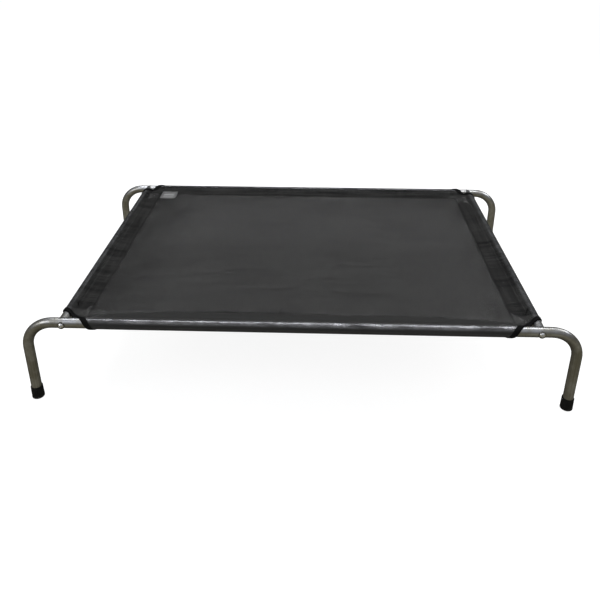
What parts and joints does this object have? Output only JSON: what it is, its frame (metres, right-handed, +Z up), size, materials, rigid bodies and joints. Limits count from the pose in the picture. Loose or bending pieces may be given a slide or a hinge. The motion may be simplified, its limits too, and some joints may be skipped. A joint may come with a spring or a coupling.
{
  "type": "raised dog bed",
  "caption": "Low raised pet bed: a mesh sheet stretched by sewn sleeves over a frame of bent steel tubes, on legs with rubber foot caps.",
  "frame": {"origin": "on the floor, under the middle of the bed", "axes": "+X along the rails to the right, +Y from the front rail to the rear rail, +Z up"},
  "size_m": [1.1744, 0.7594, 0.205],
  "materials": {
    "tube_steel": "polished bright steel tube",
    "insert_steel": "plain turned steel",
    "washer_steel": "dark zinc-plated steel",
    "screw_steel": "bright plated steel",
    "cap_rubber": "matt moulded rubber",
    "mesh_fabric": "coated open-weave mesh, single layer",
    "sleeve_fabric": "coated open-weave mesh, double layer",
    "binding_tape": "woven binding tape",
    "label_weave": "fine woven label"
  },
  "bodies": {
    "root": {"front_rail": "tube_steel", "rear_rail": "tube_steel", "left_side_tube": "tube_steel", "right_side_tube": "tube_steel", "front_left_insert": "insert_steel", "front_right_insert": "insert_steel", "rear_left_insert": "insert_steel", "rear_right_insert": "insert_steel", "front_left_washer": "washer_steel", "front_right_washer": "washer_steel", "rear_left_washer": "washer_steel", "rear_right_washer": "washer_steel", "front_left_screw": "screw_steel", "front_right_screw": "screw_steel", "rear_left_screw": "screw_steel", "rear_right_screw": "screw_steel", "front_left_foot_cap": "cap_rubber", "front_right_foot_cap": "cap_rubber", "rear_left_foot_cap": "cap_rubber", "rear_right_foot_cap": "cap_rubber", "mesh_panel": "mesh_fabric", "front_sleeve": "sleeve_fabric", "rear_sleeve": "sleeve_fabric", "left_sleeve": "sleeve_fabric", "right_sleeve": "sleeve_fabric", "front_left_binding": "binding_tape", "front_right_binding": "binding_tape", "rear_left_binding": "binding_tape", "rear_right_binding": "binding_tape", "woven_label": "label_weave"}
  },
  "joints": []
}
